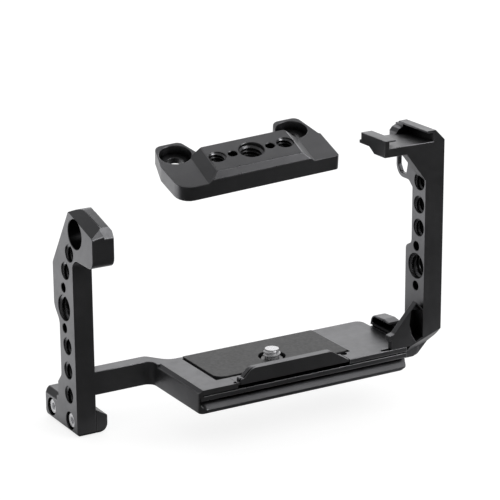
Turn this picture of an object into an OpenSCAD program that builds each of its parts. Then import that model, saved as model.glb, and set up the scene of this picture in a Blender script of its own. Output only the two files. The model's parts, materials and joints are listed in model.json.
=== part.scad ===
// Camera cage: a base with a quick-release dovetail, a left arm, a bolted right arm with a cold shoe,
// and a loose top plate. Millimetres. The origin is where the camera screw's axis meets the underside
// of the base. +X runs along the base to the right arm, +Y away from the front stop, +Z up.

/* [Cage] */
// Overall width over both arms
cage_w = 134; // [126:0.5:146]
// Camera screw's axis to the outer face of the left arm
screw_to_left = 70.8; // [66:0.1:74]
// Camera screw's axis to the base's near face
screw_to_near = 17.6; // [16.5:0.1:19]
// How far the left arm and the bar stand back from the base's near face
arm_setback = 36.4; // [35:0.1:38]

/* [Base plate] */
// Depth of the base plate, front to back
base_d = 34.2; // [33.6:0.1:35]
// Thickness of the base plate and of the bar
base_h = 9; // [8.6:0.1:10.4]
// Gap from the outer face of the left arm to the base plate
base_left_gap = 30.9; // [26:0.1:33]
// Gap from the base plate to the outer face of the right arm
base_right_gap = 13.8; // [13:0.1:15]
// Radius of the base plate's upright corners at the back
base_corner_r = 3; // [1.5:0.1:3.5]
// Radius of the base plate's upright corner at the near left
near_corner_r = 1.7; // [1:0.1:2.4]
// Chamfer along the base plate's left top edge
base_chamfer = 1.2; // [0.4:0.1:1.6]
// Depth of the bar that carries the left arm, front to back
bar_d = 5.8; // [5:0.1:7]
// Height of the slit along the near face
slit_h = 0.45; // [0.3:0.05:0.6]

/* [Dovetail] */
// Height of the lip under the dovetail groove
lip_h = 1.3; // [1:0.1:1.6]
// Depth of the dovetail groove
groove_d = 2.4; // [1.8:0.1:2.8]
// Height of the groove's ceiling over the underside
groove_top = 4.8; // [4.6:0.1:5]
// Radius of the cutter that leaves the groove's round ends
cutter_r = 3.6; // [3.2:0.1:4]

/* [Base pad] */
// Width of the camera pad
pad_w = 56; // [52:0.5:58]
// Pad's left edge to the camera screw's axis
pad_to_screw = 28.6; // [26:0.1:29.5]
// Base's near face to the pad
pad_to_near = 7.8; // [7.4:0.1:8.6]
// Thickness of the pad
pad_t = 1.4; // [1.2:0.1:1.6]
// How far the pad stands proud of the base
pad_proud = 0.2; // [0.1:0.1:0.6]
// Gap round the pad in its recess
pad_gap = 0.9; // [0.5:0.1:1.1]

/* [Front stop] */
// Width of the front stop along its foot
stop_w = 44; // [42:0.1:45]
// Camera screw's axis to the middle of the front stop
stop_mid = -0.8; // [-2:0.1:1]
// Height of the front stop over the base
stop_rise = 4.5; // [4:0.1:6]
// Thickness of the front stop
stop_t = 3.2; // [2.8:0.1:3.6]
// Gap under the front stop's lip
stop_gap = 1.45; // [0.8:0.05:1.5]
// Thread diameter of the two screws that hold the front stop
stop_fix_d = 2; // [1.6:0.1:2.2]

/* [Camera screw] */
// Thread diameter of the camera screw
screw_d = 6.35; // [6.35:0.01:6.35]
// How far the screw stands over the base when it hangs on its clip
screw_proud = 3.1; // [2.5:0.1:3.5]
// Diameter of the pocket round the screw in the pad and the base
screw_pocket_d = 10; // [9.6:0.1:11]
// Diameter of the screw's head
screw_head_d = 12.4; // [11:0.1:13]
// Height of the screw's head
screw_head_h = 3.4; // [3:0.1:3.8]
// How far the screw can rise from rest
screw_lift = 0.5; // [0.3:0.1:0.6]
// Thickness of the clip that keeps the screw in the base
clip_t = 0.8; // [0.6:0.1:1]

/* [Left arm] */
// Thickness of the left arm
arm_t = 7.8; // [7:0.1:8.6]
// Height of the left arm's peak over the base's underside
arm_h = 72; // [70:0.1:76]
// Depth of the left arm's lower half
arm_d_low = 12.3; // [12:0.1:13]
// Depth of the left arm's upper half
arm_d_top = 16.5; // [15.5:0.1:17]
// How far the head reaches over the camera
head_reach = 16.6; // [14:0.1:18]
// Thickness of the head
head_t = 8.6; // [8.6:0.1:9.6]
// Height of the head, from its underside to its peak
head_h = 19; // [18:0.1:20]
// Diameter of the plain hole in the head
eye_d = 10.9; // [10:0.1:11.4]
// How far the foot hangs under the base's underside
foot_drop = 15; // [14:0.1:16.5]
// Depth of the foot, front to back
foot_d = 27.7; // [27:0.1:29]
// Height of the foot at its back
foot_h = 11.1; // [10:0.1:12]
// Thickness of the block on the inside of the foot
block_t = 4.5; // [4:0.1:5.5]

/* [Right arm] */
// Thickness of the right arm
pillar_t = 8.25; // [7.6:0.05:8.6]
// Depth of the right arm's upper part
pillar_d = 8.6; // [8.4:0.1:9.6]
// Depth of the right arm's lower part
pillar_d_low = 12.3; // [11.6:0.1:13]
// Height of the floor of the cold shoe over the base's underside
shoe_floor_z = 86.4; // [85:0.1:90]
// Thickness of the brace that joins the right arm to the base
brace_t = 2.6; // [2.4:0.1:3.2]
// Depth of the pocket in the brace
brace_pocket_d = 2; // [1.4:0.1:2]

/* [Cold shoe] */
// Width between the walls of the cold shoe
shoe_w = 19.1; // [18.6:0.1:19.2]
// Gap between the lips of the cold shoe
shoe_gap = 13.6; // [12.5:0.1:13.8]
// Height under the lips of the cold shoe
shoe_slot_h = 2.1; // [2:0.1:2.3]
// Thickness of the cold shoe's floor
shoe_floor_t = 3.5; // [3:0.1:4]
// Length of the cold shoe's right rail
shoe_len = 20.9; // [19:0.1:22]

/* [Threads and pins] */
// Diameter of the quarter-inch threads
quarter_d = 6.35; // [6.35:0.01:6.35]
// Diameter of the three-eighths threads
three_eighths_d = 9.525; // [9.525:0.005:9.525]
// Diameter of the locating pin holes
pin_d = 3.5; // [3:0.1:4]
// Distance between the two pin holes beside a three-eighths thread
pin_pitch = 15.4; // [14.8:0.1:16]
// Pitch of the three threads at the bottom of the left arm
low_pitch = 9.35; // [9:0.05:10]
// Pitch of the three threads at the top of the right arm
top_pitch = 8.8; // [8.4:0.1:9.4]
// Thread diameter of the small fixing screws
fix_d = 3; // [2.5:0.1:3.2]
// Head diameter of the small fixing screws
fix_head_d = 5.5; // [5:0.1:5.8]
// Head height of the small fixing screws
fix_head_h = 3; // [2:0.1:3]

/* [Top plate] */
// Distance between the two quarter-inch threads of the top plate
plate_pitch = 26.8; // [26:0.1:29]
// Distance between the two pin holes of the top plate
plate_pin_pitch = 14.8; // [14.4:0.1:16]
// Width of the raised middle of the top plate
island_w = 33.6; // [33.2:0.1:36]
// Depth of the top plate without its ears
plate_d = 18.4; // [17.6:0.1:20]
// Thickness of the top plate over its raised middle
plate_h = 9.5; // [9:0.1:11]
// How far the ears lie under the raised middle
island_rise = 3.3; // [2.6:0.1:3.6]
// Diameter of the screw seats in the ears
seat_d = 12; // [11:0.1:12.2]
// Diameter of the holes through the screw seats
seat_hole_d = 6.5; // [5:0.1:7]
// Depth of the screw seats in the ears
seat_depth = 3.6; // [3:0.1:4]
// Top plate's turn about its upright axis, in degrees
plate_turn = -6.3; // [-10:0.1:10]
// Top plate's tip towards the front, in degrees
plate_tip = 18; // [0:0.5:25]
// Top plate's roll to the right, in degrees
plate_roll = -6; // [-8:0.5:8]
// Top plate's place to the right of the camera screw's axis
plate_x = 2.7; // [-10:0.1:10]
// Top plate's place behind the camera screw's axis
plate_y = 18.6; // [0:0.1:24]
// Height of the top plate's top over the base's underside
plate_z = 82.9; // [80:0.1:100]

/* [Hidden] */

$fn = 48;
corner_steps = 6;
eps = 0.01;
over = 1;

// Play of a shaft in its hole, on the radius
play = 0.05;
// Chamfer at the mouth of a threaded hole
mouth = 0.2;

black = [0.13, 0.13, 0.14];
dark = [0.17, 0.17, 0.18];
steel = [0.75, 0.75, 0.77];

// Places measured from the outer face of the left arm (x), the arm's near face (y) and the underside (z)
near_y = -arm_setback;
screw_y = near_y + screw_to_near;
base_x0 = base_left_gap;
base_x1 = cage_w - base_right_gap;
base_y1 = near_y + base_d;
pad_x0 = screw_to_left - pad_to_screw;
pad_x1 = pad_x0 + pad_w;
pad_y1 = base_y1;
pad_d = base_d - pad_to_near;
pad_y0 = near_y + pad_to_near;
pad_top = base_h + pad_proud;
pad_floor = pad_top - pad_t;
stop_x0 = screw_to_left + stop_mid - stop_w / 2;
stop_x1 = stop_x0 + stop_w;
stop_top = base_h + stop_rise;
stop_back_y = near_y + stop_t;
band_z = groove_top + 1.85;
arm_mid_low = arm_d_low / 2 - 0.05;
arm_mid_top = arm_d_top / 2 - 0.4;
peak_y = 1;
head_under = arm_h - head_h;
head_near_z = arm_h - 5;
head_peak_r = 5;
// Heights of the left arm's threads, and places [y, z] of its plain hole and its two single threads
left_low_z = 9.15;
left_big_z = 32.6;
left_single_at = [[2.2, arm_h - 17.4], [5.9, arm_h - 24.9]];
eye_at = [-2.8, arm_h - 9.1];
foot_z = -foot_drop;
foot_top = foot_z + foot_h;
foot_screw_at = [[6, foot_z + 4.7], [21.8, foot_z + 4.9]];
foot_seat_d = fix_head_d + 1.3;
// Where the base's near face ends at the right, beside the brace
near_face_x1 = base_x1 - 1.2;
pillar_x = cage_w - pillar_t;
pillar_y1 = near_y + pillar_d;
pillar_low_y1 = near_y + pillar_d_low;
pillar_hole_y = near_y + 5.3;
pillar_top_hole_y = near_y + 3.9;
right_big_z = 38;
right_top_z = 62;
shoe_top_left = shoe_floor_z + shoe_slot_h + 0.8;
shoe_top_right = shoe_floor_z + shoe_slot_h + 2;
shoe_under = shoe_floor_z - shoe_floor_t;
shoe_x1 = cage_w - 5.05;
shoe_x0 = shoe_x1 - shoe_w;
shoe_wall = 2.1;
lip_w = (shoe_w - shoe_gap) / 2;

// ---- Outlines and placing ----

function unit(v) = v / norm(v);

// Points of a round corner of radius r at p, between the neighbours a and b
function corner(a, p, b, r) =
    let (u = unit(a - p), v = unit(b - p),
         half = acos(u * v) / 2,
         c = p + unit(u + v) * r / sin(half),
         start = p + u * r / tan(half) - c,
         a0 = atan2(start.y, start.x),
         sweep = (180 - 2 * half) * sign(v.y * u.x - v.x * u.y) * -1)
    [for (i = [0 : corner_steps]) c + r * [cos(a0 + sweep * i / corner_steps),
                                          sin(a0 + sweep * i / corner_steps)]];

// Outline through corners given as [x, y, radius]
function outline(pts) =
    let (n = len(pts))
    [for (i = [0 : n - 1])
        let (q = pts[i], a = pts[(i + n - 1) % n], b = pts[(i + 1) % n],
             p = [q.x, q.y])
        each (q[2] > 0 ? corner([a.x, a.y], p, [b.x, b.y], q[2]) : [p])];

// Puts what is drawn from the left arm's outer face at the camera screw's axis
module on_screw_axis() {
    translate([-screw_to_left, -screw_y, 0]) children();
}

// Extrudes a y-z outline from x0 to x1
module along_x(x0, x1) {
    translate([x0, 0, 0]) rotate([90, 0, 90]) linear_extrude(x1 - x0) children();
}

// Extrudes an x-z outline from y0 to y1
module along_y(y0, y1) {
    translate([0, y1, 0]) rotate([90, 0, 0]) linear_extrude(y1 - y0) children();
}

// Threaded hole along x through a wall from x0 to x1, with chamfered mouths
module hole_x(x0, x1, y, z, d) {
    translate([x0 - over, y, z]) rotate([0, 90, 0]) cylinder(h = x1 - x0 + 2 * over, d = d);
    translate([x0 - eps, y, z]) rotate([0, 90, 0])
        cylinder(h = mouth + eps, r1 = d / 2 + mouth + eps, r2 = d / 2);
    translate([x1 - mouth, y, z]) rotate([0, 90, 0])
        cylinder(h = mouth + eps, r1 = d / 2, r2 = d / 2 + mouth + eps);
}

// Blind or through hole along z with its mouth at the top
module hole_down(x, y, z_top, depth, d) {
    translate([x, y, z_top - depth]) cylinder(h = depth + over, d = d);
    translate([x, y, z_top - mouth]) cylinder(h = mouth + eps, r1 = d / 2, r2 = d / 2 + mouth + eps);
}

// Socket-head screw, head up: its seat is at z = 0 and its shank hangs below
module socket_screw(length, d, head_d, head_h) {
    hex = head_d * 0.5;
    difference() {
        union() {
            cylinder(h = head_h, d = head_d);
            translate([0, 0, -length]) cylinder(h = length + eps, d = d);
        }
        translate([0, 0, head_h * 0.45]) cylinder(h = head_h, d = hex, $fn = 6);
    }
}

// ---- Base frame: base plate, bar and left arm, machined from one piece ----

sweep_x = base_x0 + 3.1;

module plan() {
    polygon(outline([
        [arm_t / 2, 0, 0],
        [base_x0 - 0.2, 0, 3.2],
        [base_x0, near_y, near_corner_r],
        [near_face_x1, near_y, 0.6],
        [near_face_x1, near_y + 1.6, 0],
        [base_x1, near_y + 4, 0.5],
        [base_x1, base_y1, base_corner_r],
        [sweep_x + 2.8, base_y1, 6],
        [sweep_x - 3.1, bar_d, 3],
        [arm_t / 2, bar_d, 0]]));
}

module arm_profile() {
    polygon(outline([
        [0, foot_z, 1.2],
        [foot_d, foot_z, 5],
        [foot_d, foot_top, 0.4],
        [arm_d_low + 3.1, foot_top, 0],
        [arm_d_low + 3.1, 2.2, 0],
        [arm_d_low, 5.6, 3],
        [arm_d_low, 26.6, 5],
        [arm_d_top, 31.4, 5],
        [arm_d_top, arm_h - 24.2, 2],
        [peak_y, arm_h, head_peak_r],
        [-head_reach, head_near_z, 0],
        [-head_reach, head_under, 3.6],
        [0, head_under, 4]]));
}

module head_block() {
    along_x(arm_t - over, head_t)
        polygon(outline([
            [0, head_under, 0.5],
            [peak_y, arm_h, head_peak_r],
            [-head_reach, head_near_z, 0],
            [-head_reach, head_under, 3.6]]));
}

// Facets that shape the head: a long bevel outside, a scoop at the front and a bevel inside
module head_cuts() {
    bevel_slope = 16.3;
    translate([0, -head_reach, head_near_z - 2.5]) rotate([bevel_slope, 0, 0]) rotate([0, -28, 0])
        translate([-5, -8, 0]) cube([20, 40, 20]);
    scoop_slope = 60;
    translate([0, -head_reach, head_near_z - 3.1]) rotate([scoop_slope, 0, 0]) linear_extrude(12)
        polygon([[5.6, -1.5], [3.9, 3.2], [3.6, 9], [14, 9], [14, -1.5]]);
    // Chamfer along the near top edge beside the scoop
    translate([0, -head_reach, head_near_z - 3]) rotate([0, -10, 0]) rotate([55, 0, 0])
        translate([-over, -1.5, 0]) cube([7, 6, 6]);
    translate([head_t, peak_y, arm_h - 1.2]) rotate([15.9, 0, 0]) rotate([0, 45, 0])
        translate([-8, -30, 0]) cube([16, 50, 10]);
}

module foot_cuts() {
    bevel = 2;
    translate([0, arm_d_low + 4.7, foot_top - bevel]) rotate([0, -45, 0])
        translate([-4, 0, 0]) cube([12, foot_d, 6]);
    edge = 1.1;
    translate([0, -over, foot_z + edge]) rotate([0, 45, 0]) translate([-3, 0, -6])
        cube([9, foot_d + 2 * over, 6]);
    // Chamfer up the far outer edge
    translate([0, foot_d - edge, foot_z - over]) rotate([0, 0, 45]) translate([-3, 0, 0])
        cube([9, 6, foot_h + 2 * over]);
}

module left_arm_holes() {
    hole_x(0, head_t, eye_at.x, eye_at.y, eye_d);
    for (p = left_single_at)
        hole_x(0, arm_t, p.x, p.y, quarter_d);
    hole_x(0, arm_t, arm_mid_top, left_big_z, three_eighths_d);
    for (s = [-1, 1])
        hole_x(0, arm_t, arm_mid_top, left_big_z + s * pin_pitch / 2, pin_d);
    for (i = [-1 : 1])
        hole_x(0, arm_t, arm_mid_low, left_low_z + i * low_pitch, quarter_d);
    for (p = foot_screw_at) {
        translate([-over, p.x, p.y]) rotate([0, 90, 0])
            cylinder(h = fix_seat + over, d = foot_seat_d);
        translate([0, p.x, p.y]) rotate([0, 90, 0])
            cylinder(h = arm_t + over, d = fix_d + 2 * play);
    }
}

// Depth of a fixing screw's seat under the face it is let into
fix_seat = fix_head_h + 0.8;

// Dovetail groove along the near face, with the round ends its cutter leaves
module groove(x0, x1) {
    slope_z = groove_top - 1.1;
    xa = x0 + cutter_r;
    xb = x1 - cutter_r;
    along_x(xa, xb)
        polygon([[-over, groove_top], [groove_d, groove_top], [groove_d, slope_z],
                 [0, lip_h], [-over, lip_h]]);
    for (x = [xa, xb])
        translate([x, groove_d - cutter_r, 0]) rotate_extrude()
            polygon([[0, groove_top], [cutter_r, groove_top], [cutter_r, slope_z],
                     [cutter_r - groove_d, lip_h], [0, lip_h]]);
}

module base_cuts() {
    // Dovetail on both long sides
    translate([0, near_y, 0]) groove(base_x0 - 0.4, base_x1 + cutter_r);
    translate([0, base_y1, 0]) mirror([0, 1, 0]) groove(base_x0 + 12, base_x1 - 4);
    // Slot along the groove's back wall
    translate([pad_x0 - 2, near_y - over, groove_top - slot_h])
        cube([slot_len, groove_d + slot_d + over, slot_h]);
    // Slit along the near face
    translate([base_x0 + 1.1, near_y - over, band_z])
        cube([base_x1 - base_x0, slit_d + over, slit_h]);
    // Round lower corner at the near face's right end
    translate([near_face_x1 - end_r, near_y - over, -over]) difference() {
        cube([end_r + over, over + 1.6, end_r + over]);
        translate([0, -over, end_r + over]) rotate([-90, 0, 0]) cylinder(h = 5, r = end_r);
    }
    // Relief in the top at the brace's toe
    translate([base_x1 - 11.2, near_y + 1.3, base_h - 1.5]) {
        cylinder(h = 2, r = toe_relief_r);
        translate([0, -toe_relief_r, 0]) cube([3.3, 2 * toe_relief_r, 2]);
    }
    // Chamfer along the left top edge
    translate([base_x0, near_y - over, base_h - base_chamfer]) rotate([0, -45, 0])
        translate([-3, 0, 0]) cube([9, base_d - 1.5, 5]);
    // Recess for the pad, which closes on it at the back
    translate([0, 0, pad_floor]) linear_extrude(pad_t)
        polygon([[pad_x0 - pad_gap, pad_y0 - pad_gap], [pad_x1, pad_y0 - pad_gap],
                 [pad_x1, pad_y1 + over], [pad_x0, pad_y1 + over], [pad_x0, pad_y1 - 1.5],
                 [pad_x0 - pad_gap, pad_y1 - 1.5]]);
    // Recess for the front stop, with its corner reliefs
    translate([stop_body_x0 - play, near_y - over, band_z])
        cube([stop_body_x1 - stop_body_x0 + 2 * play, stop_body_y1 - near_y + play + over, base_h]);
    translate([stop_body_x0 - 0.3, near_y + 1, band_z]) cylinder(h = base_h, r = 0.95);
    translate([stop_body_x1 + 1.1, stop_body_y1 - 0.6, band_z]) cylinder(h = base_h, r = 1.4);
    for (x = stop_screw_x) {
        translate([x, stop_screw_y, -over]) cylinder(h = base_h, d = stop_fix_d + 2 * play);
        translate([x, stop_screw_y, -over]) cylinder(h = stop_fix_seat + over, d = stop_fix_head_d + 0.4);
    }
    // Camera screw: pocket above, clearance hole and pocket for the head below
    translate([screw_to_left, screw_y, clip_seat_z]) cylinder(h = base_h, d = screw_pocket_d);
    translate([screw_to_left, screw_y, -over]) cylinder(h = base_h, d = screw_d + 0.5);
    translate([screw_to_left, screw_y, -over]) cylinder(h = head_room_z + over, d = screw_head_d + 0.8);
    // Tripod threads beside the camera screw
    for (s = [-1, 1])
        translate([screw_to_left + s * tripod_pitch / 2, screw_y, 0]) mirror([0, 0, 1])
            hole_down(0, 0, 0, tripod_depth, quarter_d);
    // Threads for the right arm's screws
    for (y = arm_screw_y)
        translate([base_x1 - 8, y, arm_screw_z]) rotate([0, 90, 0])
            cylinder(h = 8 + over, d = fix_d + 2 * play);
}

slot_len = 45.8;
slot_d = 0.8;
slot_h = 1.5;
slit_d = 1;
end_r = 3.4;
toe_relief_r = 0.9;
tripod_pitch = 36;
tripod_depth = 6;
stop_fix_head_d = stop_fix_d * 1.8;
stop_fix_seat = stop_fix_d + 0.7;
stop_screw_x = [stop_x0 + 9, stop_x1 - 9];
stop_screw_y = near_y + 5;
// The front stop's flat body, which fills its recess up to the gap round the pad
stop_body_x0 = stop_x0 - 1.6;
stop_body_x1 = stop_x1 + 1.5;
stop_body_y1 = pad_y0 - pad_gap;

module base_frame() {
    color(black) on_screw_axis() difference() {
        union() {
            linear_extrude(base_h) plan();
            difference() {
                union() {
                    along_x(0, arm_t) arm_profile();
                    head_block();
                }
                head_cuts();
                foot_cuts();
            }
        }
        left_arm_holes();
        base_cuts();
    }
}

// ---- Right arm: pillar, brace, foot, cold shoe and strap loop, machined from one piece ----

arm_foot_t = 6.4;
arm_foot_y0 = near_y + 3.8;
arm_foot_y1 = near_y + 26.9;
arm_screw_y = [near_y + 9, near_y + 20];
arm_screw_z = 6;

// Outline of the pillar and its foot in the x-z plane
module pillar_front() {
    polygon(outline([
        [base_x1, 2.9, 0],
        [base_x1 + 6.2, 2.9, 2.5],
        [cage_w, 10.6, 3],
        [cage_w, shoe_floor_z, 0],
        [cage_w - 4.1, shoe_top_right, 0],
        [shoe_x1, shoe_top_right, 0],
        [shoe_x1, shoe_under, 0],
        [pillar_x, shoe_under - 2, 0],
        [pillar_x, base_h, 0],
        [base_x1, base_h, 0]]));
}

// Outline of the pillar in the y-z plane
module pillar_side() {
    polygon(outline([
        [near_y, 0, 0],
        [pillar_low_y1, 0, 0],
        [pillar_low_y1, 44.4, 2],
        [pillar_y1, 46.4, 2],
        [pillar_y1, shoe_under, 0],
        [near_y + shoe_len, shoe_under, 0],
        [near_y + shoe_len, shoe_top_right - 2, 0],
        [near_y + shoe_len - 2, shoe_top_right, 0],
        [near_y, shoe_top_right, 0]]));
}

module pillar() {
    intersection() {
        along_y(near_y, near_y + shoe_len) pillar_front();
        along_x(base_x1, cage_w) pillar_side();
    }
}

brace_toe = 9.5;
brace_peak = [pillar_x - 3.05, base_h + 16.75];
// Lower outline of the hollow between the brace and the pillar, from its left side to the pillar
brace_hollow = [[pillar_x - 6.05, base_h + 8.5], [pillar_x - 4.9, base_h + 4.4],
                [pillar_x - 2.85, base_h + 1.3], [pillar_x, base_h + 2.6]];

module brace() {
    along_y(near_y, near_y + brace_t)
        polygon(outline([
            [base_x1 - brace_toe, base_h, 0],
            [base_x1 - brace_toe + 0.1, base_h + 5.6, 0],
            [base_x1 - brace_toe + 2.4, base_h + 6.1, 1.5],
            [brace_peak.x, brace_peak.y, 0],
            [pillar_x + 0.5, base_h + 13, 0],
            [pillar_x + 0.5, base_h, 0]]));
    // Backing behind the hollow
    along_y(near_y + brace_t - eps, near_y + hollow_d + 0.8)
        polygon([[base_x1 - 2, base_h], [base_x1 - 2, base_h + 7], [brace_peak.x, base_h + 12.2],
                 [pillar_x + 0.5, base_h + 13], [pillar_x + 0.5, base_h]]);
}

// Tilted chamfer under the near face of the brace and the pillar
module low_chamfer() {
    chamfer_d = 4.6;
    intersection() {
        translate([base_x1 + 1.1, near_y, base_h + 0.2]) rotate([0, -19.5, 0]) rotate([-45, 0, 0])
            translate([-12, -20, -30]) cube([40, 50, 30]);
        translate([base_x1 - over, near_y - over, -over])
            cube([cage_w - base_x1 + 2 * over, chamfer_d + over, 20]);
    }
}

hollow_d = 5.5;

module brace_cuts() {
    // Shallow pocket up to the peak, and the deeper hollow under it
    along_y(near_y - over, near_y + brace_pocket_d)
        polygon(concat([brace_peak - [0, 0.55], brace_peak - [2.35, 3.1]], brace_hollow,
                       [[pillar_x, base_h + 13]]));
    along_y(near_y - over, near_y + hollow_d)
        polygon(concat([brace_peak - [2.35, 3.1]], brace_hollow, [[pillar_x, base_h + 12.8]]));
    // Notch at the brace's toe
    translate([base_x1 - brace_toe - over, near_y - over, base_h - over])
        cube([1.2 + over, brace_t + 2 * over, 3.4 + over]);
}

// Foot along the end of the base, with the slotted stop on top of it
module arm_foot() {
    intersection() {
        along_y(arm_foot_y0, arm_foot_y1)
            polygon(outline([
                [base_x1, 2.9, 0],
                [base_x1 + 4.8, 2.9, 2.5],
                [base_x1 + arm_foot_t, 5, 1],
                [base_x1 + arm_foot_t, base_h + 1, 0],
                [base_x1, base_h + 1, 0]]));
        along_x(base_x1 - over, cage_w)
            polygon(outline([
                [arm_foot_y0, 0, 0], [arm_foot_y1, 0, 3], [arm_foot_y1, base_h + 2, 0],
                [arm_foot_y0, base_h + 2, 0]]));
    }
    difference() {
        along_x(base_x1 + play, base_x1 + 5.2)
            polygon(outline([
                [pillar_low_y1 - over, base_h - 1, 0], [arm_foot_y1, base_h - 1, 0],
                [arm_foot_y1, base_h + 4.6, 3.2], [near_y + 17.9, base_h + 5.4, 4],
                [near_y + 14.5, base_h + 4.8, 1], [pillar_low_y1 - over, base_h + 1.4, 0]]));
        along_x(base_x1 - over, base_x1 + 4)
            polygon(outline([
                [near_y, base_h + 1.5, 0], [arm_foot_y1 - 1.1, base_h + 1.5, 0.4],
                [arm_foot_y1 - 1.1, base_h + 4.05, 1.8], [near_y, base_h + 4.05, 0]]));
    }
}

// Dark gap between the top of the base and the slotted stop
module foot_gap() {
    translate([base_x1 - over, pillar_low_y1, base_h])
        cube([0.8 + over, base_d, 0.7]);
}

module cold_shoe() {
    left_rail_len = shoe_len - 5.1;
    floor_len = shoe_len - 4;
    x0 = shoe_x0 - shoe_wall;
    // Floor
    along_y(near_y, near_y + floor_len)
        polygon([[x0, shoe_under], [shoe_x1 + over, shoe_under], [shoe_x1 + over, shoe_floor_z],
                 [x0, shoe_floor_z]]);
    // Left wall and lip
    along_y(near_y, near_y + left_rail_len)
        polygon([[x0, shoe_under], [shoe_x0, shoe_under], [shoe_x0, shoe_floor_z + shoe_slot_h],
                 [shoe_x0 + lip_w, shoe_floor_z + shoe_slot_h], [shoe_x0 + lip_w, shoe_top_left],
                 [x0, shoe_top_left]]);
    // Right lip, undercut
    lip_z = shoe_top_right - 0.9;
    along_y(near_y, near_y + shoe_len - 2)
        polygon([[shoe_x1 - lip_w, lip_z], [shoe_x1 + over, lip_z], [shoe_x1 + over, shoe_top_right],
                 [shoe_x1 - lip_w, shoe_top_right]]);
    // Stop at the far end of the right side
    along_y(near_y + floor_len - 1, near_y + shoe_len)
        polygon([[shoe_x1 - 5.4, shoe_under], [shoe_x1 - 5.4, shoe_floor_z + 0.6],
                 [shoe_x1 - 4.2, shoe_floor_z + 1.9], [shoe_x1 - lip_w, shoe_floor_z + 2.5],
                 [shoe_x1 - lip_w, lip_z + eps], [shoe_x1 + over, lip_z + eps],
                 [shoe_x1 + over, shoe_under]]);
    // Brace under the shoe
    along_y(near_y, near_y + 4.2)
        polygon([[shoe_x1 - 12.5, shoe_under + over], [pillar_x + 0.5, shoe_under - 11.4],
                 [shoe_x1 + over, shoe_under - 11.4], [shoe_x1 + over, shoe_under + over]]);
}

// Material under the shoe's far left half is milled away
module shoe_cuts() {
    x0 = shoe_x0 - shoe_wall;
    along_x(x0 - over, pillar_x)
        polygon([[near_y + 7.1, shoe_under - over], [near_y + 7.1, shoe_under],
                 [near_y + 10.4, shoe_under + 2.1], [near_y + shoe_len + over, shoe_under + 2.1],
                 [near_y + shoe_len + over, shoe_under - over]]);
}

loop_t = 1.8;

module strap_loop() {
    difference() {
        along_x(pillar_x, pillar_x + loop_t)
            polygon(outline([
                [pillar_y1 - over, shoe_under - 17, 0], [pillar_y1, shoe_under - 15.3, 0],
                [pillar_y1 + 2.4, shoe_under - 13.1, 2],
                [near_y + 18, shoe_under - 13.1, 4.5], [near_y + 19.2, shoe_under - 9, 2],
                [near_y + 19.2, shoe_under + 2.5, 0], [pillar_y1 - over, shoe_under + 2.5, 0]]));
        along_x(pillar_x - over, pillar_x + loop_t + over)
            polygon(outline([
                [near_y + 11.9, shoe_under - 7.5, 1], [near_y + 12.8, shoe_under - 11.4, 0.6],
                [near_y + 16.4, shoe_under - 11.4, 1.5], [near_y + 18, shoe_under - 8.6, 1],
                [near_y + 18, shoe_under + 0.6, 1], [near_y + 11.9, shoe_under + 0.6, 1]]));
    }
}

module right_arm_holes() {
    for (i = [-1 : 1])
        hole_x(pillar_x, cage_w, pillar_top_hole_y, right_top_z + i * top_pitch, quarter_d);
    hole_x(pillar_x, cage_w, pillar_hole_y, right_big_z, three_eighths_d);
    for (s = [-1, 1])
        hole_x(pillar_x, cage_w, pillar_hole_y, right_big_z + s * pin_pitch / 2, pin_d);
    for (y = arm_screw_y) {
        translate([base_x1 - over, y, arm_screw_z]) rotate([0, 90, 0])
            cylinder(h = cage_w - base_x1 + 2 * over, d = fix_d + 2 * play);
        translate([base_x1 + arm_foot_t - fix_seat, y, arm_screw_z]) rotate([0, 90, 0])
            cylinder(h = cage_w - base_x1, d = fix_head_d + 0.6);
    }
}

module right_arm() {
    color(black) on_screw_axis() difference() {
        union() {
            difference() {
                union() {
                    pillar();
                    brace();
                }
                low_chamfer();
            }
            arm_foot();
            difference() {
                cold_shoe();
                shoe_cuts();
            }
            strap_loop();
        }
        brace_cuts();
        foot_gap();
        right_arm_holes();
    }
}

module arm_screws() {
    color(steel) on_screw_axis()
        for (y = arm_screw_y)
            translate([base_x1 + arm_foot_t - fix_seat, y, arm_screw_z]) rotate([0, 90, 0])
                socket_screw(8, fix_d, fix_head_d, fix_head_h);
}

// ---- Foot block on the inside of the left arm's foot ----

module foot_block() {
    color(black) on_screw_axis() difference() {
        intersection() {
            along_y(0, foot_d)
                polygon(outline([
                    [arm_t, foot_z, 0], [arm_t + block_t, foot_z, 3.6], [arm_t + block_t, foot_z + 6.6, 0],
                    [arm_t, foot_z + 9.4, 0]]));
            along_x(arm_t - over, arm_t + block_t + over)
                polygon(outline([
                    [0, foot_z, 1.2], [foot_d, foot_z, 5], [foot_d, foot_top, 0], [0, foot_top, 0]]));
        }
        for (p = foot_screw_at)
            translate([arm_t - over, p.x, p.y]) rotate([0, 90, 0])
                cylinder(h = block_t - 0.5 + over, d = fix_d + 2 * play);
    }
}

module foot_screws() {
    color(steel) on_screw_axis()
        for (p = foot_screw_at)
            translate([fix_seat, p.x, p.y]) rotate([0, -90, 0])
                socket_screw(arm_t - fix_seat + 3.5, fix_d, fix_head_d, fix_head_h);
}

// ---- Front stop, let into the base's near edge ----

// Outline of the upright plate, its slanted ends drawn in by inset
module stop_outline(inset) {
    x0 = stop_x0 + inset;
    x1 = stop_x1 - inset;
    lip_z = band_z + stop_gap;
    polygon(outline([
        [x0 - 0.55, lip_z, 0.2], [x1 + 0.6, lip_z, 0.2],
        [x1 + 0.6, base_h + 0.1, 0.2], [x1 - 6.5, stop_top, 2.5],
        [x0 + 4.2, stop_top, 4], [x0 + 0.9, base_h + 1.2, 0.6], [x0 - 0.55, base_h + 1.2, 0.5]]));
}

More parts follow.
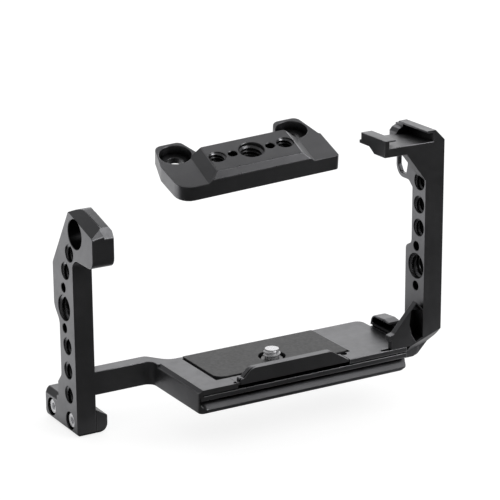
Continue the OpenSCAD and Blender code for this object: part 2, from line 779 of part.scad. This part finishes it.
module front_stop() {
    face_t = 0.4;
    line_w = 0.8;
    body_y0 = near_y + 0.2;
    color(black) on_screw_axis() difference() {
        union() {
            along_y(near_y, near_y + face_t) stop_outline(0);
            // Groove along the slanted ends, behind the face
            along_y(near_y + face_t - eps, near_y + face_t + line_w + eps) stop_outline(0.6);
            along_y(near_y + face_t + line_w, stop_back_y) stop_outline(0);
            // Flat body, set back under the lip
            translate([stop_body_x0, body_y0, band_z + stop_gap])
                cube([stop_body_x1 - stop_body_x0, stop_body_y1 - body_y0, base_h - band_z - stop_gap]);
            translate([stop_body_x0, near_y + 3, band_z])
                cube([stop_body_x1 - stop_body_x0, stop_body_y1 - near_y - 3, base_h - band_z]);
        }
        for (x = stop_screw_x)
            translate([x, stop_screw_y, band_z - over])
                cylinder(h = base_h - band_z - 0.3 + over, d = stop_fix_d + 2 * play);
    }
}

module stop_screws() {
    color(steel) on_screw_axis()
        for (x = stop_screw_x)
            translate([x, stop_screw_y, stop_fix_seat]) mirror([0, 0, 1])
                socket_screw(base_h - stop_fix_seat - 0.6, stop_fix_d, stop_fix_head_d, stop_fix_d);
}

// ---- Base pad ----

module base_pad() {
    color(dark) on_screw_axis() translate([0, 0, pad_floor]) difference() {
        linear_extrude(pad_t)
            polygon(outline([
                [pad_x0, pad_y0, 4], [pad_x1, pad_y0, 2], [pad_x1, pad_y1, 0.6], [pad_x0, pad_y1, 0.6]]));
        translate([screw_to_left, screw_y, -over]) cylinder(h = pad_t + 2 * over, d = screw_pocket_d);
    }
}

// ---- Camera screw and the clip that keeps it in the base ----

clip_seat_z = pad_top - 0.6 - clip_t - 0.3;
head_room_z = screw_head_h + screw_lift + 0.2;
neck_d = screw_d - 1.4;

module camera_screw() {
    top = base_h + screw_proud;
    color(steel) difference() {
        union() {
            translate([0, 0, head_under_z - screw_head_h]) cylinder(h = screw_head_h, d = screw_head_d);
            translate([0, 0, head_under_z - eps]) cylinder(h = clip_seat_z - head_under_z + eps, d = screw_d);
            translate([0, 0, clip_seat_z - eps]) cylinder(h = clip_t + 0.2 + 2 * eps, d = neck_d);
            translate([0, 0, clip_seat_z + clip_t + 0.2]) cylinder(h = top - 0.6 - clip_seat_z - clip_t - 0.2,
                                                                   d = screw_d);
            translate([0, 0, top - 0.6]) cylinder(h = 0.6, d1 = screw_d, d2 = screw_d - 1.2);
        }
        // Slot for a coin
        translate([-screw_head_d, -0.8, head_under_z - screw_head_h - over])
            cube([2 * screw_head_d, 1.6, 1.2 + over]);
    }
}

// Underside of the shank, where the head begins, at rest
head_under_z = head_room_z - screw_lift - 0.1;

module screw_clip() {
    color(steel) translate([0, 0, clip_seat_z + 0.1]) difference() {
        cylinder(h = clip_t, d = screw_pocket_d - 1.6);
        translate([0, 0, -over]) cylinder(h = clip_t + 2 * over, d = neck_d + 2 * play);
    }
}

// ---- Top plate, drawn about the mouth of its middle thread ----

island_run = 4.1;
near_bevel = 2.2;
ear_reach = 9.6;

module plate_plan() {
    hw = island_w / 2;
    d2 = plate_d / 2;
    polygon(outline([
        [-hw - 15, -d2 - 1.3, 6],
        [hw + 14.1, -d2 - 1.3, 1.2],
        [hw + 13.6, 5.4, 0],
        [hw + 12.9, 6.2, 0],
        [hw + 9.5, d2 + ear_reach, 3],
        [hw - 0.2, d2 + ear_reach, 3],
        [hw - 4.1, d2 - 1.3, 0.5],
        [-hw + 0.3, d2 - 1.3, 0.5],
        [-hw - 4, d2 + ear_reach, 3],
        [-hw - 14.1, d2 + ear_reach, 3],
        [-hw - 16.5, 5.4, 4]]));
}

module top_plate() {
    hw = island_w / 2;
    y0 = -plate_d / 2 - 1.3;
    y1 = plate_d / 2 - 1.3;
    color(black)
    translate([plate_x, plate_y, plate_z]) rotate([0, 0, plate_turn]) rotate([plate_tip, 0, 0])
    rotate([0, plate_roll, 0]) difference() {
        union() {
            translate([0, 0, -plate_h]) linear_extrude(plate_h - island_rise) plate_plan();
            intersection() {
                along_x(-hw - 6, hw + 6)
                    polygon([[y0, -island_rise - 1], [y0, -near_bevel], [y0 + near_bevel, 0], [y1, 0],
                             [y1, -island_rise - 1]]);
                along_y(y0 - over, y1 + over)
                    polygon([[-hw - island_run * 1.3, -island_rise - 1], [-hw, 0], [hw, 0],
                             [hw + island_run * 1.3, -island_rise - 1]]);
            }
        }
        for (s = [-1, 1]) {
            hole_down(s * plate_pitch / 2, 0, 0, plate_h + over, quarter_d);
            hole_down(s * plate_pin_pitch / 2, 0, 0, 5, pin_d);
        }
        hole_down(0, 0, 0, plate_h + over, three_eighths_d);
        for (x = [-hw - 8.6, hw + 4.2]) {
            translate([x, 11.3, -island_rise - seat_depth]) cylinder(h = plate_h, d = seat_d);
            translate([x, 11.3, -plate_h - over]) cylinder(h = plate_h, d = seat_hole_d);
        }
    }
}

base_frame();
right_arm();
arm_screws();
foot_block();
foot_screws();
front_stop();
stop_screws();
base_pad();
camera_screw();
screw_clip();
top_plate();
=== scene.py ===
"""Camera cage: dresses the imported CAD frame.

Blender's units are metres: +X runs to the right arm, +Y away from the front stop, +Z up.
A length in millimetres is multiplied by MM where it is used, or by at() for a place.
"""
import json
import math
from collections import namedtuple

import bmesh
import bpy
from mathutils import Matrix, Vector


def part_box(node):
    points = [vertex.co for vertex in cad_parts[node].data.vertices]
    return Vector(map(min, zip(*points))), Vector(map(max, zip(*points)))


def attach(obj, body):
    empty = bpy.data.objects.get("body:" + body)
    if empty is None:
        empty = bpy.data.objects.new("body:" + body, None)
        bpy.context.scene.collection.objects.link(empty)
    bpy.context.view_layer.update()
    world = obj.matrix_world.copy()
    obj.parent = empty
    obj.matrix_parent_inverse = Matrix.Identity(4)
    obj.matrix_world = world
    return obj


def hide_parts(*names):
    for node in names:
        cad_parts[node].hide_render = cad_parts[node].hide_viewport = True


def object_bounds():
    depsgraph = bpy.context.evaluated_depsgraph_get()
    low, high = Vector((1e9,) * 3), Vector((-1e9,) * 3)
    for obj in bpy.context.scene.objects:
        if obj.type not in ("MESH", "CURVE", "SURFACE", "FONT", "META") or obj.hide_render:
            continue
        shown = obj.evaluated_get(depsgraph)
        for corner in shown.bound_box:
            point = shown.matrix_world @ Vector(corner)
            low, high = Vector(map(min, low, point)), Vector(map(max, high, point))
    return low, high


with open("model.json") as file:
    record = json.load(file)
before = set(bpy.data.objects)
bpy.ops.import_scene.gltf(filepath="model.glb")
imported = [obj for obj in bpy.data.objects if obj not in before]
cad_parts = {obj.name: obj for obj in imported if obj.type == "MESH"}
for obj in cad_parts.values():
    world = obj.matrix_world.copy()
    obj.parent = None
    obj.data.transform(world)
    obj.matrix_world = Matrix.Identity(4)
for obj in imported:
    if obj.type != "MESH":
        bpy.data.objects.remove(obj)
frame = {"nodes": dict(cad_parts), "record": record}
cad_low, cad_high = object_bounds()
nodes = frame["nodes"]
MM = 0.001

# ---- Camera: where the photo was taken from ----

EYE = Vector((-384.0, -644.5, 286.9)) * MM
AZIMUTH, ELEVATION, ROLL = -30.193, 17.53, -0.37  # degrees
FOCAL_PX, IMAGE_PX = 2174.5, 500
SENSOR_MM = 36.0
CLIP_START, CLIP_END = 0.01, 50


def make_camera():
    a, e, r = map(math.radians, (AZIMUTH, ELEVATION, ROLL))
    back = Vector((math.sin(a) * math.cos(e), -math.cos(a) * math.cos(e), math.sin(e)))
    level = Vector((math.cos(a), math.sin(a), 0))
    upright = back.cross(level)
    right = math.cos(r) * level + math.sin(r) * upright
    up = math.cos(r) * upright - math.sin(r) * level
    data = bpy.data.cameras.new("camera")
    data.sensor_width = SENSOR_MM
    data.lens = FOCAL_PX / IMAGE_PX * SENSOR_MM
    data.clip_start, data.clip_end = CLIP_START, CLIP_END
    camera = bpy.data.objects.new("camera", data)
    camera.matrix_world = Matrix((
        (right.x, up.x, back.x, EYE.x),
        (right.y, up.y, back.y, EYE.y),
        (right.z, up.z, back.z, EYE.z),
        (0, 0, 0, 1)))
    bpy.context.scene.collection.objects.link(camera)
    bpy.context.scene.camera = camera


# ---- Materials ----

# Nearly all of a noise texture lies between these two, so they are its dark and light end
NOISE_ENDS = (0.3, 0.7)

# Noise scales, per metre
DYE_CLOUDS, SHEEN_CLOUDS, BLAST_GRAIN = 60, 400, 7000
STEEL_CLOUDS, STEEL_SHEEN = 900, 2500
PAD_CLOUDS, PAD_SHEEN = 80, 900
FINE, COARSE = 3, 2  # detail of the noise

# Anodised aluminium
DYED_METALLIC = 0.94
DYED_BLUE = 1.04  # how much blue there is for each part of red
SHEEN_SPREAD = 0.08
GRAIN_STRENGTH, GRAIN_DEPTH = 0.12, 0.00002
# Painted shade in holes and inner corners, worked out from how open the surface is within this
# reach
HOLLOW_REACH = 0.01
HOLLOW_LIGHT = (0.35, 0.72)  # the openness that is darkest, and the one from which nothing darkens
HOLLOW_SHARE = (0.08, 1.0)   # the share of the colour that is left at each
HOLLOW_SAMPLES = 8

STEEL_BLUE = 1.02
STEEL_ROUGH = (0.24, 0.36)
PAD_DARK, PAD_LIGHT = (0.012, 0.012, 0.013), (0.02, 0.02, 0.022)
PAD_ROUGH = (0.38, 0.48)
PAD_IOR = 1.6


def shader(name):
    material = bpy.data.materials.new(name)
    material.use_nodes = True
    tree = material.node_tree
    return material, tree, tree.nodes["Principled BSDF"]


def noise(tree, scale, detail):
    coords = tree.nodes.new("ShaderNodeTexCoord")
    node = tree.nodes.new("ShaderNodeTexNoise")
    node.inputs["Scale"].default_value = scale
    node.inputs["Detail"].default_value = detail
    tree.links.new(coords.outputs["Object"], node.inputs["Vector"])
    return node.outputs["Fac"]


def mapped(tree, value, source, target, smooth=False):
    """The value taken from the source range to the target range, and held within it."""
    node = tree.nodes.new("ShaderNodeMapRange")
    if smooth:
        node.interpolation_type = "SMOOTHSTEP"
    ends = zip(("From Min", "From Max", "To Min", "To Max"), (*source, *target))
    for socket, number in ends:
        node.inputs[socket].default_value = number
    tree.links.new(value, node.inputs["Value"])
    return node.outputs["Result"]


def tones(tree, value, dark, light):
    """A colour that clouds between dark and light."""
    node = tree.nodes.new("ShaderNodeValToRGB")
    ends = zip(node.color_ramp.elements, NOISE_ENDS, (dark, light))
    for element, position, colour in ends:
        element.position = position
        element.color = (*colour, 1)
    tree.links.new(value, node.inputs["Fac"])
    return node.outputs["Color"]


def cool(level, blue):
    return level, level, level * blue


def painted_hollow_shade(tree, colour):
    """Painted shade: darkens a colour in holes and inner corners, by how closed in they are."""
    found = tree.nodes.new("ShaderNodeAmbientOcclusion")
    found.samples = HOLLOW_SAMPLES
    found.inputs["Distance"].default_value = HOLLOW_REACH
    scaled = tree.nodes.new("ShaderNodeVectorMath")
    scaled.operation = "SCALE"
    tree.links.new(colour, scaled.inputs[0])
    share = mapped(tree, found.outputs["AO"], HOLLOW_LIGHT, HOLLOW_SHARE)
    tree.links.new(share, scaled.inputs["Scale"])
    return scaled.outputs["Vector"]


def anodised(name, dark, light, rough):
    material, tree, bsdf = shader(name)
    bsdf.inputs["Metallic"].default_value = DYED_METALLIC
    dye = tones(tree, noise(tree, DYE_CLOUDS, FINE), cool(dark, DYED_BLUE), cool(light, DYED_BLUE))
    # The colour carries painted shade in holes and inner corners
    tree.links.new(painted_hollow_shade(tree, dye), bsdf.inputs["Base Color"])
    sheen = mapped(tree, noise(tree, SHEEN_CLOUDS, FINE), NOISE_ENDS, (rough, rough + SHEEN_SPREAD))
    tree.links.new(sheen, bsdf.inputs["Roughness"])
    grain = tree.nodes.new("ShaderNodeBump")
    grain.inputs["Strength"].default_value = GRAIN_STRENGTH
    grain.inputs["Distance"].default_value = GRAIN_DEPTH
    tree.links.new(noise(tree, BLAST_GRAIN, COARSE), grain.inputs["Height"])
    tree.links.new(grain.outputs["Normal"], bsdf.inputs["Normal"])
    return material


def steel(name, dark, light, metallic):
    material, tree, bsdf = shader(name)
    bsdf.inputs["Metallic"].default_value = metallic
    clouds = noise(tree, STEEL_CLOUDS, COARSE)
    colour = tones(tree, clouds, cool(dark, STEEL_BLUE), cool(light, STEEL_BLUE))
    tree.links.new(colour, bsdf.inputs["Base Color"])
    sheen = mapped(tree, noise(tree, STEEL_SHEEN, FINE), NOISE_ENDS, STEEL_ROUGH)
    tree.links.new(sheen, bsdf.inputs["Roughness"])
    return material


def pad():
    material, tree, bsdf = shader("pad_black")
    bsdf.inputs["IOR"].default_value = PAD_IOR
    colour = tones(tree, noise(tree, PAD_CLOUDS, FINE), PAD_DARK, PAD_LIGHT)
    tree.links.new(colour, bsdf.inputs["Base Color"])
    sheen = mapped(tree, noise(tree, PAD_SHEEN, FINE), NOISE_ENDS, PAD_ROUGH)
    tree.links.new(sheen, bsdf.inputs["Roughness"])
    return material


# A slot's materials by face: plain faces, rounded edges and, where there are any, hollows
PLAIN, EDGE, HOLLOW = 0, 1, 2
MATERIALS = {
    "anodised_black": (
        anodised("anodised_black", dark=0.17, light=0.215, rough=0.3),
        # Lighter than the plain faces: a painted highlight on the rounded edges
        anodised("anodised_painted_edge_highlight", dark=0.27, light=0.38, rough=0.26),
        # Nearly black: painted shade on the walls of plain holes
        anodised("anodised_painted_hollow_shade", dark=0.012, light=0.02, rough=0.3)),
    "bright_steel": (steel("bright_steel", dark=0.75, light=0.9, metallic=0.65),) * 2,
    "pad_black": (pad(),) * 2}
# Thread ridges: lighter than the body as a painted glint on their crests, with the painted shade of
# holes deep in the bores
THREAD_SHADE_AND_GLINT = anodised("anodised_thread_shade_and_glint", dark=0.3, light=0.42, rough=0.24)
CLIP_STEEL = steel("clip_steel", dark=0.1, light=0.16, metallic=1.0)


# ---- Places and sizes from the CAD, in mm ----

def at(x, y, z, *turns):
    """A place in the frame, turned by (degrees, axis) one after another."""
    place = Matrix.Translation(Vector((x, y, z)) * MM)
    for angle, axis in turns:
        place = place @ Matrix.Rotation(math.radians(angle), 4, axis)
    return place


ALONG_X = (90, "Y")
LEFT_FACE, LEFT_THICK = -70.8, 7.8
RIGHT_FACE, RIGHT_THICK = 54.95, 8.25
PLATE = at(2.7, 18.6, 82.9, (-6.3, "Z"), (18, "X"), (-6, "Y"))
PLATE_THICK = 9.5
BASE_THREAD_DEPTH = 6

Thread = namedtuple("Thread", "radius pitch depth")
QUARTER = Thread(3.175, 1.27, 0.62)
THREE_EIGHTHS = Thread(4.7625, 1.5875, 0.78)
SCREW_THREAD = Thread(3.175, 1.27, 0.6)
SCREW_THREAD_START, SCREW_THREAD_END = 9.1, 11.5

# The screw is turned down to the core of its thread above this height
SCREW_CORE = 2.58
TURNED_ABOVE, TURNED_BEYOND = 8.4, 2.6

# Threaded bores: (place, thread, start, end), the last two along the bore
LEFT_BORES = [(at(LEFT_FACE, y, z, ALONG_X), QUARTER, 0, LEFT_THICK) for y, z in (
    (21, 54.6), (24.7, 47.1), (24.9, -0.2), (24.9, 9.15), (24.9, 18.5))]
LEFT_BORES += [(at(LEFT_FACE, 26.65, 32.6, ALONG_X), THREE_EIGHTHS, 0, LEFT_THICK)]
RIGHT_BORES = [
    (at(RIGHT_FACE, -13.7, z, ALONG_X), QUARTER, 0, RIGHT_THICK) for z in (53.2, 62, 70.8)]
RIGHT_BORES += [(at(RIGHT_FACE, -12.3, 38, ALONG_X), THREE_EIGHTHS, 0, RIGHT_THICK)]
PLATE_BORES = [(PLATE @ at(x, 0, 0), thread, -PLATE_THICK, 0) for x, thread in (
    (-13.4, QUARTER), (0, THREE_EIGHTHS), (13.4, QUARTER))]
BASE_BORES = [(at(x, 0, 0), QUARTER, 0, BASE_THREAD_DEPTH) for x in (-18, 18)]

# Plain holes: (place, radius, start, end) in the same way, with the place as its inverse
HEAD_HOLE_RADIUS, PIN_RADIUS = 5.45, 1.75
ARM_HOLE_SPAN, PLATE_HOLE_SPAN = (-0.5, 9), (-6, 0.5)
HOLLOWS = [(at(LEFT_FACE, 16, 62.9, ALONG_X).inverted(), HEAD_HOLE_RADIUS, *ARM_HOLE_SPAN)]
HOLLOWS += [(at(LEFT_FACE, 26.65, z, ALONG_X).inverted(), PIN_RADIUS, *ARM_HOLE_SPAN)
            for z in (24.9, 40.3)]
HOLLOWS += [(at(RIGHT_FACE, -12.3, z, ALONG_X).inverted(), PIN_RADIUS, *ARM_HOLE_SPAN)
            for z in (30.3, 45.7)]
HOLLOWS += [((PLATE @ at(x, 0, 0)).inverted(), PIN_RADIUS, *PLATE_HOLE_SPAN)
            for x in (-7.4, 7.4)]
WALL_MARGIN = 0.1
ACROSS = 0.3  # a wall's normal lies this near to square on the hole's axis


def in_hollow(face):
    """Whether a face is part of a plain hole's wall."""
    for place, radius, start, end in HOLLOWS:
        centre = place @ face.calc_center_median() / MM
        across = abs((place.to_3x3() @ face.normal).z) < ACROSS
        within = math.hypot(centre.x, centre.y) < radius + WALL_MARGIN
        if across and within and start < centre.z < end:
            return True
    return False


def turned_down(bm):
    """Takes the screw's threaded end down to the bottom of its thread."""
    for v in bm.verts:
        r = math.hypot(v.co.x, v.co.y)
        if v.co.z > TURNED_ABOVE * MM and r > TURNED_BEYOND * MM:
            v.co.x *= SCREW_CORE * MM / r
            v.co.y *= SCREW_CORE * MM / r


# ---- Pieces: the solids with broken edges, and the threads ----

EDGE_WIDTH = 0.3 * MM
EDGE_SEGMENTS = 2
WELD = 0.002 * MM
FLAT_TURN = math.radians(0.4)     # faces that turn by less are one
SHARP_TURN = math.radians(17)     # an edge that turns by more can be broken
CORNER_TURN = math.radians(12)    # an edge that turns by more counts at a corner
CORNER_EDGES = 4                  # a corner with more of them is crowded
SMALL_STEP = 2.2 * EDGE_WIDTH
STRIP_WIDTH = 2 * EDGE_WIDTH      # two broken edges need this much face between them
RUNS_ON = 0.8                     # cosine between edges that carry on from each other
RUNS_BACK = -0.7                  # and between the two sides of a strip
BLEND_PLAIN, BLEND_EDGE = math.radians(16.5), math.radians(50)
THREAD_CREASE = math.radians(30)


def add_piece(name, bm, body, slot, materials=None):
    mesh = bpy.data.meshes.new(name)
    for material in materials or MATERIALS[slot]:
        mesh.materials.append(material)
    bm.to_mesh(mesh)
    bm.free()
    mesh.shade_smooth()
    piece = bpy.data.objects.new(name, mesh)
    bpy.context.scene.collection.objects.link(piece)
    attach(piece, body)
    return piece


def turn_at(edge):
    return edge.calc_face_angle(0) if len(edge.link_faces) == 2 else 0


def step_ends(bm, sharp):
    """The ends of short edges, apart from those that lie within a longer sharp curve."""

    def runs_on(edge, vert):
        back = (vert.co - edge.other_vert(vert).co).normalized()
        return any(
            (e.other_vert(vert).co - vert.co).normalized().dot(back) > RUNS_ON
            for e in vert.link_edges if e is not edge and e in sharp)

    ends = set()
    for edge in bm.edges:
        if edge.calc_length() < SMALL_STEP:
            a, b = edge.verts
            if not (edge in sharp and runs_on(edge, a) and runs_on(edge, b)):
                ends.update((a, b))
    return ends


def strip_ends(bm, sharp):
    """The ends of sharp edges that have another one close by across the same face."""
    ends = set()
    for face in bm.faces:
        sides = [(loop, loop.vert.co, loop.link_loop_next.vert.co - loop.vert.co)
                 for loop in face.loops if loop.edge in sharp]
        for loop, point, along in sides:
            for other, start, span in sides:
                if loop.vert in other.edge.verts or span.length < STRIP_WIDTH:
                    continue
                if span.dot(along) > RUNS_BACK * span.length * along.length:
                    continue
                share = (point - start).dot(span) / span.length_squared
                foot = start + span * min(max(share, 0), 1)
                if (foot - point).length < STRIP_WIDTH:
                    ends.update((loop.vert, loop.link_loop_next.vert))
    return ends


def roundable(bm):
    """The sharp convex edges with no small step, thin strip or crowded corner at their ends."""
    sharp = {e for e in bm.edges if e.is_convex and turn_at(e) > SHARP_TURN}
    kept_off = step_ends(bm, sharp) | strip_ends(bm, sharp)
    for vert in bm.verts:
        if sum(turn_at(e) > CORNER_TURN for e in vert.link_edges) > CORNER_EDGES:
            kept_off.add(vert)
    return [e for e in bm.edges if e in sharp and not kept_off & set(e.verts)]


def corner_normal(face, vert):
    """Flat faces stay flat, facets of an arc blend, and a rounded edge runs into its faces."""
    rounded = face.material_index == EDGE
    limit = BLEND_EDGE if rounded else BLEND_PLAIN
    joined = [f for f in vert.link_faces if f.material_index != EDGE]
    if rounded and not any(f.normal.angle(face.normal, 0) < limit for f in joined):
        joined = vert.link_faces
    total = Vector()
    for f in joined:
        if f.normal.angle(face.normal, 0) < limit:
            total += f.normal * f.calc_area()
    return total.normalized() if total.length > 0 else face.normal.copy()


def softened(node, body, slot, shape=None, materials=None):
    """Stands for a CAD node: the same solid with its sharp edges broken."""
    bm = bmesh.new()
    bm.from_mesh(nodes[node].data)
    bmesh.ops.remove_doubles(bm, verts=bm.verts, dist=WELD)
    bmesh.ops.dissolve_limit(bm, angle_limit=FLAT_TURN, verts=bm.verts, edges=bm.edges)
    if shape:
        shape(bm)
    for face in bm.faces:
        # On anodised parts the walls of plain holes take the nearly black material, as painted
        # shade
        dark = slot == "anodised_black" and in_hollow(face)
        face.material_index = HOLLOW if dark else PLAIN
    # The rounded edges take the slot's edge material, which for anodised parts is a painted
    # highlight
    bmesh.ops.bevel(
        bm, geom=roundable(bm), offset=EDGE_WIDTH, offset_type="OFFSET", segments=EDGE_SEGMENTS,
        profile=0.5, affect="EDGES", clamp_overlap=False, material=EDGE)
    low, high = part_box(node)
    for v in bm.verts:
        v.co = [min(max(v.co[i], low[i]), high[i]) for i in range(3)]
    bm.normal_update()
    normals = [corner_normal(face, loop.vert) for face in bm.faces for loop in face.loops]
    piece = add_piece(node + "_edged", bm, body, slot, materials)
    piece.data.normals_split_custom_set(normals)
    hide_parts(node)


RIDGE_SUNK = 0.08                    # mm that a ridge's foot lies within the wall
RIDGE_FOOT, RIDGE_CREST = 0.46, 0.07  # half widths, in pitches
RUN_OUT = 0.3                        # turns in which a ridge grows to its full height
LEAST_HEIGHT = 0.05
BORE_STEPS, SCREW_STEPS = 36, 48     # facets in one turn


def ridge(bm, place, thread, start, end, outward=False, steps=BORE_STEPS):
    """A thread's ridge along z of place, from start to end in mm, with its ends run out."""
    radius, pitch, depth = thread
    root = radius - depth - RIDGE_SUNK if outward else radius + RIDGE_SUNK
    crest = radius if outward else radius - depth
    turns = (end - start) / pitch
    count = int(turns * steps)
    rings = []
    for i in range(count + 1):
        turn = turns * i / count
        full = min(1.0, turn / RUN_OUT, (turns - turn) / RUN_OUT)
        tip = root + (crest - root) * max(full, LEAST_HEIGHT)
        angle = 2 * math.pi * turn
        z = start + pitch * turn
        ring = []
        for r, dz in ((root, -RIDGE_FOOT), (tip, -RIDGE_CREST),
                      (tip, RIDGE_CREST), (root, RIDGE_FOOT)):
            point = Vector((r * math.cos(angle), r * math.sin(angle), z + dz * pitch)) * MM
            ring.append(bm.verts.new(place @ point))
        rings.append(ring)
    for a, b in zip(rings, rings[1:]):
        for k in range(4):
            bm.faces.new((a[k], a[(k + 1) % 4], b[(k + 1) % 4], b[k]))
    bm.faces.new(rings[0][::-1])
    bm.faces.new(rings[-1])
    bmesh.ops.recalc_face_normals(bm, faces=bm.faces)


def bore_threads(name, bores):
    """One piece with the ridges of several bores, each half a pitch short of the bore's ends."""
    bm = bmesh.new()
    for place, thread, start, end in bores:
        ridge(bm, place, thread, start + 0.5 * thread.pitch, end - 0.5 * thread.pitch)
    piece = add_piece(name, bm, "cage", "anodised_black", [THREAD_SHADE_AND_GLINT])
    piece.data.set_sharp_from_angle(angle=THREAD_CREASE)


def screw_thread():
    bm = bmesh.new()
    ridge(bm, at(0, 0, 0), SCREW_THREAD, SCREW_THREAD_START, SCREW_THREAD_END,
          outward=True, steps=SCREW_STEPS)
    piece = add_piece("camera_screw_thread", bm, "screw", "bright_steel")
    piece.data.set_sharp_from_angle(angle=THREAD_CREASE)


def dress_nodes():
    bodies = frame["record"]["behaviour"]["bodies"]
    body_of = {node: body for body, members in bodies.items() for node in members}
    shapes = {"camera_screw": turned_down}
    # The photo shows no bright ring round the screw, so the clip is darker than its slot
    own_materials = {"screw_clip": (CLIP_STEEL,) * 2}
    for part in frame["record"]["subparts"]:
        node = part["node"]
        softened(node, body_of[node], part["material_slot"],
                 shapes.get(node), own_materials.get(node))


bore_threads("left_arm_threads", LEFT_BORES)
bore_threads("right_arm_threads", RIGHT_BORES)
bore_threads("plate_threads", PLATE_BORES)
bore_threads("tripod_threads", BASE_BORES)
screw_thread()
dress_nodes()


# ---- Stage: what lights the metal, and what it mirrors ----

LAMP_REACH = 1.3
LAMP_TARGET = (0, 0, 0.03)
LAMPS = (  # name, direction, size, power
    ("softbox_back", (0.53, 0.72, 0.45), 1.1, 3.2),
    ("softbox_front", (0.46, -0.64, 0.62), 0.6, 2.8))

ROOM_LEVEL = 0.75
# Mirror rays find the room lighter behind the object: (direction, from-to along it, level)
ROOM_MIRRORED = ((0.2, 0.98, 0), (-0.4, 0.5), (0.05, 0.2))

FLOOR_GAP, FLOOR_HALF = 0.0002, 6.0
FLOOR_GREY = 0.9
# What the camera sees of the floor is white by itself, with a little that a shadow can take
SEEN_GREY, SEEN_GLOW = 0.34, 0.78
# Mirror rays find the floor dark in front of the object and half dark on its right
FLOOR_BEHIND = ((0.5, 1, 0), (-0.03, 0.01), (0.04, 1.0))
FLOOR_ASIDE = ((-1, 0.35, 0), (0.02, 0.16), (0.5, 1.0))


def add_lamp(name, direction, size, power):
    data = bpy.data.lights.new(name, "AREA")
    data.shape = "RECTANGLE"
    data.size = data.size_y = size
    data.energy = power
    lamp = bpy.data.objects.new(name, data)
    lamp.location = Vector(direction) * LAMP_REACH
    lamp.rotation_mode = "QUATERNION"
    lamp.rotation_quaternion = (Vector(LAMP_TARGET) - lamp.location).to_track_quat("-Z", "Y")
    bpy.context.scene.collection.objects.link(lamp)


def mix_by(tree, factor, first, second):
    node = tree.nodes.new("ShaderNodeMixShader")
    tree.links.new(factor, node.inputs["Fac"])
    tree.links.new(first, node.inputs[1])
    tree.links.new(second, node.inputs[2])
    return node.outputs[0]


def shaded(tree, coords, direction, source, target):
    """A level that changes smoothly with how far coords lie along a direction."""
    node = tree.nodes.new("ShaderNodeVectorMath")
    node.operation = "DOT_PRODUCT"
    node.inputs[1].default_value = direction
    tree.links.new(coords, node.inputs[0])
    return mapped(tree, node.outputs["Value"], source, target, smooth=True)


def glow(tree, kind, strength):
    """A white background or emission, of a set strength or of one worked out by nodes."""
    node = tree.nodes.new(kind)
    node.inputs["Color"].default_value = (1, 1, 1, 1)
    if isinstance(strength, (int, float)):
        node.inputs["Strength"].default_value = strength
    else:
        tree.links.new(strength, node.inputs["Strength"])
    return node.outputs[0]


def matt(tree, grey):
    node = tree.nodes.new("ShaderNodeBsdfDiffuse")
    node.inputs["Color"].default_value = (grey, grey, grey, 1)
    return node.outputs[0]


def make_world():
    """White to the eye, and mostly dark in mirrors, as with black cards round the object."""
    world = bpy.data.worlds.new("world")
    bpy.context.scene.world = world
    world.use_nodes = True
    tree = world.node_tree
    tree.nodes.clear()
    path = tree.nodes.new("ShaderNodeLightPath")
    coords = tree.nodes.new("ShaderNodeTexCoord").outputs["Generated"]
    room = glow(tree, "ShaderNodeBackground", ROOM_LEVEL)
    seen = glow(tree, "ShaderNodeBackground", 1.0)
    mirrored = glow(tree, "ShaderNodeBackground", shaded(tree, coords, *ROOM_MIRRORED))
    lit = mix_by(tree, path.outputs["Is Glossy Ray"], room, mirrored)
    lit = mix_by(tree, path.outputs["Is Camera Ray"], lit, seen)
    lit = mix_by(tree, path.outputs["Is Transmission Ray"], lit, seen)
    out = tree.nodes.new("ShaderNodeOutputWorld")
    tree.links.new(lit, out.inputs["Surface"])


def floor_material():
    material = bpy.data.materials.new("floor_white")
    material.use_nodes = True
    tree = material.node_tree
    tree.nodes.clear()
    path = tree.nodes.new("ShaderNodeLightPath")
    coords = tree.nodes.new("ShaderNodeTexCoord").outputs["Object"]
    level = tree.nodes.new("ShaderNodeMath")
    level.operation = "MULTIPLY"
    tree.links.new(shaded(tree, coords, *FLOOR_BEHIND), level.inputs[0])
    tree.links.new(shaded(tree, coords, *FLOOR_ASIDE), level.inputs[1])
    mirrored = glow(tree, "ShaderNodeEmission", level.outputs[0])
    white = glow(tree, "ShaderNodeEmission", 1.0)
    seen = tree.nodes.new("ShaderNodeAddShader")
    tree.links.new(matt(tree, SEEN_GREY), seen.inputs[0])
    tree.links.new(glow(tree, "ShaderNodeEmission", SEEN_GLOW), seen.inputs[1])
    lit = mix_by(tree, path.outputs["Is Camera Ray"], matt(tree, FLOOR_GREY), seen.outputs[0])
    lit = mix_by(tree, path.outputs["Is Glossy Ray"], lit, mirrored)
    lit = mix_by(tree, path.outputs["Is Transmission Ray"], lit, white)
    out = tree.nodes.new("ShaderNodeOutputMaterial")
    tree.links.new(lit, out.inputs["Surface"])
    return material


def make_floor():
    mesh = bpy.data.meshes.new("floor")
    z = cad_low.z - FLOOR_GAP
    corners = ((-1, -1), (1, -1), (1, 1), (-1, 1))
    mesh.from_pydata([(FLOOR_HALF * x, FLOOR_HALF * y, z) for x, y in corners],
                     [], [(0, 1, 2, 3)])
    mesh.materials.append(floor_material())
    floor = bpy.data.objects.new("floor", mesh)
    bpy.context.scene.collection.objects.link(floor)


make_camera()
make_world()
make_floor()
for lamp_values in LAMPS:
    add_lamp(*lamp_values)
bpy.context.scene.view_settings.view_transform = "Standard"
